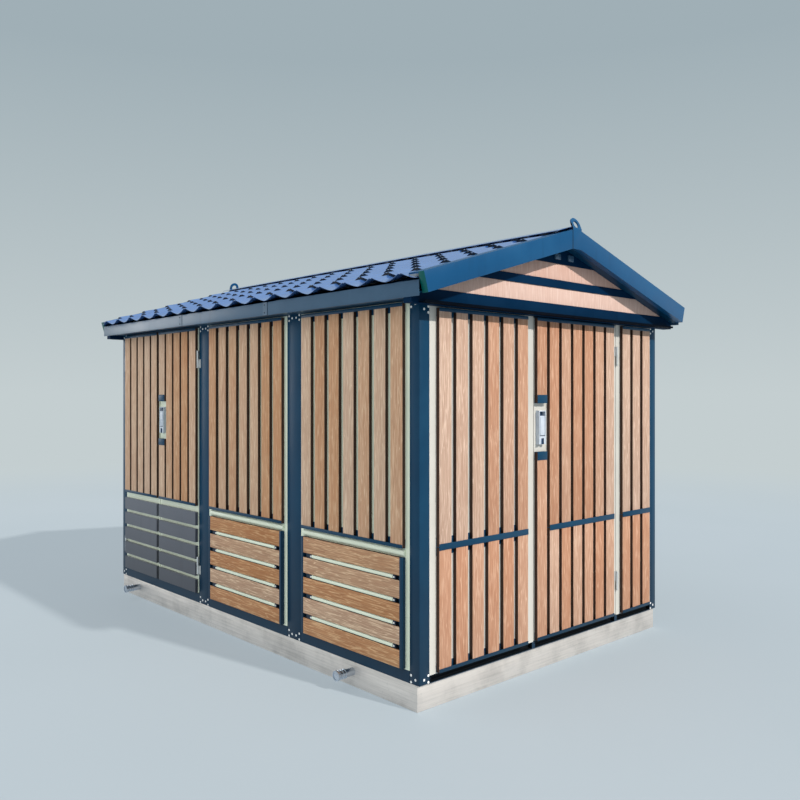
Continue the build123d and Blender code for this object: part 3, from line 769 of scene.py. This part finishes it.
def sill_hollow(piece, sign, first, last):
    """Push the middle of a sill's outer face inwards."""
    outer = facing(X, sign)

    def on_sill(face):
        centre = face.calc_center_median()
        return outer(face) and centre.x * sign > SILL_FACE_X and centre.z < SILL_TOP_Z

    def inside(face):
        centre = face.calc_center_median()
        return on_sill(face) and HOLLOW_LOW < centre.z < HOLLOW_HIGH and first < centre.y < last

    level, upright = (0, 0, 1), (0, 1, 0)
    for place, way in (((0, 0, HOLLOW_LOW), level), ((0, 0, HOLLOW_HIGH), level),
                       ((0, first, 0), upright), ((0, last, 0), upright)):
        chosen_faces(piece, on_sill)
        bpy.ops.mesh.bisect(plane_co=place, plane_no=way)
        bpy.ops.object.mode_set(mode="OBJECT")
    drawn_out(piece, inside, (-HOLLOW_DEPTH * sign, 0, 0))


def in_hollow(face):
    """Whether a face lies behind the sill's outer face, within a millimetre of a hollow."""
    out, up = abs(face.center.x), face.center.z
    return 1.66 < out < 1.6995 and HOLLOW_LOW - 0.001 < up < HOLLOW_HIGH + 0.001


rails = merged_copy("frame_rails", "frame_rails_dressed")
for first, last in HOLLOW_SPANS:
    sill_hollow(rails, 1, first, last)
    sill_hollow(rails, -1, first, last)
# The faces in the hollows take a near-black painted shade
marked(rails, "painted_shade_mask", in_hollow)
finish_piece(rails, "rail", "cabin")
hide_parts("frame_rails")

# Verge flanges: the bargeboards' folded tops, laid over the edge of the tiles
FLANGE_WIDTH = 0.066
FLANGE_SHEET = 0.0014
FLANGE_TURN_DOWN = 0.007
FLANGE_X = 1.7795
FLANGE_FOOT_Y = EAVE_EDGE_Y - 0.011
FLANGE_LENGTH = EAVE_EDGE_Y / math.cos(PITCH) - 0.012
FLANGE_RISE = 0.0345


def verge_flange(side, end):
    """A strip up one slope at one gable, turned down at its eave end."""
    piece = block((FLANGE_WIDTH, FLANGE_LENGTH, FLANGE_SHEET), (0, FLANGE_LENGTH / 2, 0))
    drawn_out(piece, facing(Y, -1), (0, -FLANGE_SHEET, 0))
    under = facing(Z, -1)
    drawn_out(piece, lambda face: under(face) and face.calc_center_median().y < 0,
              (0, 0, -FLANGE_TURN_DOWN))
    foot_z = SEAT_APEX_Z - FLANGE_FOOT_Y * math.tan(PITCH) + FLANGE_RISE / math.cos(PITCH)
    piece.location = (end * FLANGE_X, side * FLANGE_FOOT_Y, foot_z)
    piece.rotation_euler = (PITCH, 0, 0 if side < 0 else math.pi)
    settle(piece)
    piece.name = "verge_flange"
    finish_piece(piece, "barge", "cabin")


for side in (-1, 1):
    for end in (-1, 1):
        verge_flange(side, end)

# Small hardware: one piece is modelled along Z, then copied to its places and turned outwards
OUT_FRONT, OUT_BACK = (math.pi / 2, 0, 0), (-math.pi / 2, 0, 0)
OUT_NEAR, OUT_FAR = (0, math.pi / 2, 0), (0, -math.pi / 2, 0)


def on_sides(across, out, up):
    """The same place on the front and the back, each with its turn."""
    return [((across, -out, up), OUT_FRONT), ((across, out, up), OUT_BACK)]


def on_gables(across, out, up):
    """The same place on the near and the far gable, each with its turn."""
    return [((out, across, up), OUT_NEAR), ((-out, across, up), OUT_FAR)]


def screw_head(radius, height):
    """A cap screw, its lower half sunk in: a disc that narrows to its top, with a small socket."""
    bare()
    bpy.ops.mesh.primitive_cylinder_add(vertices=12, radius=radius, depth=height)
    piece = bpy.context.object
    chosen_faces(piece, facing(Z))
    bpy.ops.mesh.inset(thickness=radius * 0.3, depth=height * 0.3)
    bpy.ops.mesh.inset(thickness=radius * 0.25, depth=0)
    extrude((0, 0, -height * 0.5))
    bpy.ops.object.mode_set(mode="OBJECT")
    return piece


def copies(source, places, name, finish, body):
    """Copy a piece to its places, each with its own mesh, and join them into one."""
    made = [twin_of(source, place, turn) for place, turn in places]
    bpy.data.objects.remove(source)
    piece = smoothed(joined(made, made[0]))
    piece.name = name
    finish_piece(piece, finish, body)
    return piece


# Frame screws, in threes where posts meet rails
POST_FACE_Y = 1.1198
POST_FACE_X = 1.6998
BAY_POSTS = ((-0.474, -0.334), (0.578, 0.718))
POST_OUTER, POST_INNER = 0.019, 0.050
CORNER_X = (1.641, 1.672)
CORNER_Y = (1.0585, 1.088)
FOOT_SCREWS = (0.142, 0.159, 0.176)
HEAD_SCREWS = (2.016, 2.030, 2.044)
GABLE_HEAD_SCREWS = (1.988, 2.003, 2.018)


def triple(outer, inner, heights):
    """Three screws: the middle one stands at inner, the others at outer."""
    low, middle, high = heights
    return [(outer, low), (inner, middle), (outer, high)]


screw_places = []
for heights in (FOOT_SCREWS, HEAD_SCREWS):
    spots = []
    for left, right in BAY_POSTS:
        spots += triple(left + POST_OUTER, left + POST_INNER, heights)
        spots += triple(right - POST_OUTER, right - POST_INNER, heights)
    for side in (-1, 1):
        spots += triple(side * CORNER_X[0], side * CORNER_X[1], heights)
    for across, up in spots:
        screw_places += on_sides(across, POST_FACE_Y, up)
for heights in (FOOT_SCREWS, GABLE_HEAD_SCREWS):
    for side in (-1, 1):
        for across, up in triple(side * CORNER_Y[0], side * CORNER_Y[1], heights):
            screw_places += on_gables(across, POST_FACE_X, up)
copies(screw_head(0.0066, 0.0026), screw_places, "frame_screws", "screw", "cabin")

# Louvre bars: a rolled front between two clips, with a screw at each inner end
THIN_BAR = 0.03
BAR_DEPTH, BAR_HEIGHT = 0.0245, 0.0215
BAR_OUT, BAR_DROP = 1.1322, 0.0005
BAR_ROLL = 0.009
CLIP_LONG, CLIP_SHORT = 0.050, 0.021
CLIP_DEPTH, CLIP_HEIGHT = 0.021, 0.022
CLIP_OUT = 1.131
CLIP_GAP = 0.0005
BAR_SCREW_IN, BAR_SCREW_OUT, BAR_SCREW_DROP = 0.009, 1.1415, 0.001


def louvre_bar():
    """A bar one metre long: a rolled front on a flat back."""
    piece = block((1, BAR_DEPTH, BAR_HEIGHT))
    active(piece)
    bpy.ops.object.mode_set(mode="EDIT")
    bpy.ops.mesh.select_mode(type="EDGE")
    work = bmesh.from_edit_mesh(piece.data)
    for edge in work.edges:
        one, two = edge.verts
        edge.select = one.co.y < 0 and two.co.y < 0 and abs(one.co.x - two.co.x) > 0.5
    bmesh.update_edit_mesh(piece.data)
    bpy.ops.mesh.bevel(offset=BAR_ROLL, segments=5)
    bpy.ops.object.mode_set(mode="OBJECT")
    return piece


def bar_clip(start, end, sign, up):
    """A folded clip that fills the gap beside a bar, with a slightly raised face."""
    centre = ((start + end) / 2, sign * CLIP_OUT, up)
    piece = block((end - start, CLIP_DEPTH, CLIP_HEIGHT), centre)
    return inset(piece, facing(Y, sign), thickness=0.002, depth=0.0006)


def thin_bars(mesh):
    """The thin solids of a mesh: their vertex numbers, lowest corner and highest corner."""
    found = []
    for group in islands(mesh):
        points = [mesh.vertices[i].co for i in group]
        low, high = [Vector([pick(point[axis] for point in points) for axis in (X, Y, Z)])
                     for pick in (min, max)]
        if high.z - low.z < THIN_BAR:
            found.append((group, low, high))
    return found


bands = merged_copy("louvre_bars", "louvre_bands")
bars = thin_bars(bands.data)
bar_source = louvre_bar()
bar_pieces, clip_places, bar_screws = [], [], []
for _, low, high in bars:
    up = (low.z + high.z) / 2
    at_front = low.y < 0
    sign, turn, flip = (-1, OUT_FRONT, 0) if at_front else (1, OUT_BACK, math.pi)
    left_clip, right_clip = (CLIP_LONG, CLIP_SHORT) if at_front else (CLIP_SHORT, CLIP_LONG)
    first, last = low.x + left_clip, high.x - right_clip
    bar_pieces.append(twin_of(
        bar_source, ((first + last) / 2, sign * BAR_OUT, up - BAR_DROP), (0, 0, flip),
        scale=(last - first, 1, 1)))
    for end in (first - BAR_SCREW_IN, last + BAR_SCREW_IN):
        bar_screws.append(((end, sign * BAR_SCREW_OUT, up - BAR_SCREW_DROP), turn))
    clip_places.append((low.x, first - CLIP_GAP, sign, up))
    clip_places.append((last + CLIP_GAP, high.x, sign, up))
bpy.data.objects.remove(bar_source)

# The broad bands keep their CAD shape with round edges, and the new bars replace the thin ones
work = bmesh.new()
work.from_mesh(bands.data)
work.verts.ensure_lookup_table()
thin_verts = [work.verts[i] for group, _, _ in bars for i in group]
bmesh.ops.delete(work, geom=thin_verts, context="VERTS")
work.to_mesh(bands.data)
work.free()
bevelled(bands, 0.003, segments=3)
louvres = smoothed(joined(bar_pieces + [bands], bands), angle=35)
finish_piece(louvres, "cream", "cabin")
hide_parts("louvre_bars")

clips = [bar_clip(*place) for place in clip_places]
clip_piece = joined(clips, clips[0])
clip_piece.name = "bar_clips"
finish_piece(clip_piece, "clip", "cabin")
copies(screw_head(0.0052, 0.0036), bar_screws, "bar_screws", "screw", "cabin")

# Fascia splices: a lapped plate with a dark joint and two screws
FASCIA_SEAMS = (-0.511, 0.532)
FASCIA_MIDDLE_Z, FASCIA_HEIGHT = 2.0868, 0.0776
SPLICE_WIDTH, SPLICE_SHEET, SPLICE_OUT = 0.044, 0.0016, 1.2324
JOINT_WIDTH, JOINT_SHEET, JOINT_OUT = 0.0026, 0.0012, 1.2321
JOINT_ASIDE = 0.0012
SPLICE_SCREW_IN, SPLICE_SCREW_OUT = 0.028, 1.2335
SPLICE_SCREWS_Z = (2.064, 2.110)


def fascia_strip(name, finish, size, across, out, thickness, depth):
    """An upright strip on a fascia, its face raised or sunk by depth inside a narrow rim."""
    piece = block((*size, FASCIA_HEIGHT), (across, out, FASCIA_MIDDLE_Z))
    inset(piece, facing(Y, math.copysign(1, out)), thickness, depth)
    piece.name = name
    finish_piece(piece, finish, "cabin")


splice_screws = []
for seam in FASCIA_SEAMS:
    for sign in (-1, 1):
        fascia_strip("fascia_splice", "fascia", (SPLICE_WIDTH, SPLICE_SHEET),
                     seam - SPLICE_WIDTH / 2, sign * SPLICE_OUT, thickness=0.0012, depth=0.0005)
        fascia_strip("fascia_joint", "dark", (JOINT_WIDTH, JOINT_SHEET),
                     seam + JOINT_ASIDE, sign * JOINT_OUT, thickness=0.0005, depth=-0.0003)
    for up in SPLICE_SCREWS_Z:
        splice_screws += on_sides(seam - SPLICE_SCREW_IN, SPLICE_SCREW_OUT, up)
copies(screw_head(0.004, 0.0022), splice_screws, "splice_screws", "dark", "cabin")

# Lifting stubs: a turned shaft with three ribs and a flange with a recessed end
STUB_FOOT, STUB_RADIUS = 0.052, 0.0215
STUB_PROFILE = (
    (0.0545, 0.0255), (0.0600, 0.0255), (0.0625, 0.0215), (0.0700, 0.0215), (0.0725, 0.0255),
    (0.0780, 0.0255), (0.0805, 0.0215), (0.0880, 0.0215), (0.0905, 0.0255), (0.0960, 0.0255),
    (0.0985, 0.0215), (0.1080, 0.0215), (0.1082, 0.0280), (0.1168, 0.0280))
STUB_RIM, STUB_RECESS = 0.005, 0.003
STUB_X = (1.185, -1.400)
STUB_OUT, STUB_UP = 1.120, 0.080


def lifting_stub():
    """A shaft whose top face is drawn out step by step along its turned profile."""
    height, radius = STUB_FOOT, STUB_RADIUS
    bare()
    bpy.ops.mesh.primitive_cylinder_add(
        vertices=32, radius=radius, depth=height, location=(0, 0, height / 2))
    stub = bpy.context.object
    chosen_faces(stub, facing(Z))
    for up, wide in STUB_PROFILE:
        extrude((0, 0, up - height))
        share = wide / radius
        bpy.ops.transform.resize(value=(share, share, 1), center_override=(0, 0, up))
        height, radius = up, wide
    bpy.ops.mesh.inset(thickness=STUB_RIM, depth=0)
    extrude((0, 0, -STUB_RECESS))
    bpy.ops.object.mode_set(mode="OBJECT")
    return settle(stub)


stub_places = [place for across in STUB_X for place in on_sides(across, STUB_OUT, STUB_UP)]
stubs = copies(lifting_stub(), stub_places, "lifting_stubs", "bright", "cabin")
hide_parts("lifting_bollards")

# Drip lips: a folded strip along the foot of each gable beam
LIP_OUT, LIP_Z = 1.7752, 2.0255
LIP_DEPTH, LIP_LENGTH, LIP_SHEET = 0.0404, 2.36, 0.003
LIP_EDGE, LIP_TURN_UP = 0.002, 0.009
LIP_FRONT = LIP_OUT + LIP_DEPTH / 2


def drip_lip(sign):
    """A strip whose front edge is drawn out and turned up."""
    piece = block((LIP_DEPTH, LIP_LENGTH, LIP_SHEET), (sign * LIP_OUT, 0, LIP_Z))
    drawn_out(piece, facing(X, sign), (LIP_EDGE * sign, 0, 0))
    top = facing(Z)
    drawn_out(piece, lambda face: top(face) and face.calc_center_median().x * sign > LIP_FRONT,
              (0, 0, LIP_TURN_UP))
    piece.name = "drip_lip"
    # The lip is near-black: painted shade for the dark underside of the beam
    finish_piece(piece, "dark", "cabin")


drip_lip(1)
drip_lip(-1)

# Peak fixings: two bolted brackets under each gable's apex
BRACKET_SIZE = (0.036, 0.052, 0.008)
BRACKET_ASIDE, BRACKET_OUT, BRACKET_Z = 0.063, 1.7552, 2.372
BRACKET_SCREW_ASIDE, BRACKET_SCREW_OUT = 0.014, 1.7650


def peak_bracket():
    """A plate with a raised middle and rounded edges."""
    plate = block(BRACKET_SIZE, (0, 0, BRACKET_SIZE[Z] / 2))
    inset(plate, facing(Z), thickness=0.004, depth=0.002)
    return bevelled(plate, 0.001, segments=1)


bracket_places, bracket_screws = [], []
for across in (-BRACKET_ASIDE, BRACKET_ASIDE):
    bracket_places += on_gables(across, BRACKET_OUT, BRACKET_Z)
    for aside in (-BRACKET_SCREW_ASIDE, BRACKET_SCREW_ASIDE):
        bracket_screws += on_gables(across + aside, BRACKET_SCREW_OUT, BRACKET_Z)
copies(peak_bracket(), bracket_places, "peak_brackets", "fascia", "cabin")
# The screws take the fascia's dim blue rather than zinc white: painted shade under the overhang
copies(screw_head(0.0065, 0.005), bracket_screws, "peak_screws", "fascia", "cabin")

# Finishes of the CAD nodes that stay as they are
cad_finish("floor", "floor_plate")
cad_finish("paint", "roof_frame", "soffits")
# The beams and infill panels take the darker blue, a painted shade
cad_finish("beam", "gable_beams", "infill_panels")
cad_finish("roof", "ridge_cap")
cad_finish("cream", "side_panels", "left_door_leaf", "right_door_leaf")
cad_finish("gable_cream", "gable_jambs", "gable_panels", "gable_door_leaf")
cad_finish(
    "hinge", "frame_hinges", "left_door_hinges", "right_door_hinges", "gable_door_hinges")


# Stage: a pale floor that fades into the backdrop, soft light and the photograph's camera
def stage_floor():
    """A round floor that glows more with distance, until it is as bright as the backdrop."""
    bare()
    bpy.ops.mesh.primitive_circle_add(vertices=96, radius=40, fill_type="NGON", location=(0, 0, 0))
    floor = bpy.context.object
    floor.name = "studio_floor"
    finish = Finish("studio_floor_paint", roughness=0.6)
    place = finish.place()
    away = finish.node("ShaderNodeVectorMath", {"operation": "LENGTH"}, [place], output=1)
    cloud = finish.noise(place, 0.35).spread(0.3, 0.7)
    finish.feed("Base Color", finish.blend(cloud, colour(*FLOOR), colour(*FLOOR_CLOUD)))
    near_far = finish.blend(away.spread(4.0, 14.0), colour(*FLOOR_GLOW), colour(*BACKDROP_LOW))
    glow = finish.node("ShaderNodeEmission", {}, {"Color": near_far})
    surface = Field(finish, finish.shader.outputs[0])
    mixed = finish.node(
        "ShaderNodeMixShader", {}, [away.spread(5.0, 15.0, 0.6, 1.0), surface, glow])
    output = finish.tree.nodes["Material Output"]
    finish.tree.links.new(mixed.socket, output.inputs["Surface"])
    floor.data.materials.append(finish.material)


def stage_world():
    """Light that is stronger overhead, and a plain backdrop that deepens upwards."""
    world = bpy.data.worlds.new("studio")
    bpy.context.scene.world = world
    world.use_nodes = True
    tree = world.node_tree
    add, link = tree.nodes.new, tree.links.new
    split = add("ShaderNodeSeparateXYZ")
    link(add("ShaderNodeTexCoord").outputs["Generated"], split.inputs[0])

    def by_height(high, first, second):
        """A colour that goes from first at the horizon to second at a height."""
        reach = add("ShaderNodeMapRange")
        reach.inputs["From Min"].default_value = 0.0
        reach.inputs["From Max"].default_value = high
        link(split.outputs["Z"], reach.inputs["Value"])
        mix = add("ShaderNodeMix")
        mix.data_type = "RGBA"
        mix.inputs[6].default_value = colour(*first)
        mix.inputs[7].default_value = colour(*second)
        link(reach.outputs[0], mix.inputs[0])
        return mix.outputs[2]

    light = tree.nodes["Background"]
    link(by_height(0.7, LIGHT_LOW, LIGHT_HIGH), light.inputs["Color"])
    light.inputs["Strength"].default_value = WORLD_LIGHT
    seen = add("ShaderNodeBackground")
    link(by_height(0.38, BACKDROP_LOW, BACKDROP_HIGH), seen.inputs["Color"])
    mix = add("ShaderNodeMixShader")
    paths = add("ShaderNodeLightPath").outputs
    reach = paths["Is Camera Ray"]
    for kind in ("Is Glossy Ray", "Is Transmission Ray"):
        either = add("ShaderNodeMath")
        either.operation = "MAXIMUM"
        link(reach, either.inputs[0])
        link(paths[kind], either.inputs[1])
        reach = either.outputs[0]
    link(reach, mix.inputs[0])
    link(light.outputs[0], mix.inputs[1])
    link(seen.outputs[0], mix.inputs[2])
    link(mix.outputs[0], tree.nodes["World Output"].inputs["Surface"])


def stage_lamps():
    """A sharp key from beyond the gable, a soft fill on the front and a low sheen from the left.

    The fill is hidden from reflections, where the edge of its wide disc would show.
    """
    for name, energy, spread, shade, toward, reflected in (
        ("key_light", SUN_LIGHT, 2.0, (1.0, 0.965, 0.91), (1, 0.2, 0.8), True),
        ("fill_light", FILL_LIGHT, 80, (1.0, 0.97, 0.92), (-0.4, -1, 0.7), False),
        ("sheen_light", SHEEN_LIGHT, 24, (1, 1, 1), (-1, -0.35, 0.12), True),
    ):
        light = bpy.data.lights.new(name, "SUN")
        light.energy = energy
        light.angle = math.radians(spread)
        light.color = shade
        lamp = bpy.data.objects.new(name, light)
        bpy.context.scene.collection.objects.link(lamp)
        lamp.rotation_euler = Vector(toward).to_track_quat("Z", "Y").to_euler()
        lamp.visible_glossy = reflected


def stage_camera():
    lens = bpy.data.cameras.new("photo_camera")
    lens.lens = CAMERA_LENS
    lens.sensor_width = CAMERA_SENSOR
    lens.shift_x, lens.shift_y = CAMERA_SHIFT
    camera = bpy.data.objects.new("photo_camera", lens)
    camera.location = CAMERA_PLACE
    camera.rotation_euler = (math.radians(90), 0, math.radians(CAMERA_TURN))
    bpy.context.scene.collection.objects.link(camera)
    bpy.context.scene.camera = camera


stage_floor()
stage_world()
stage_lamps()
stage_camera()
bpy.context.scene.view_settings.view_transform = "Standard"
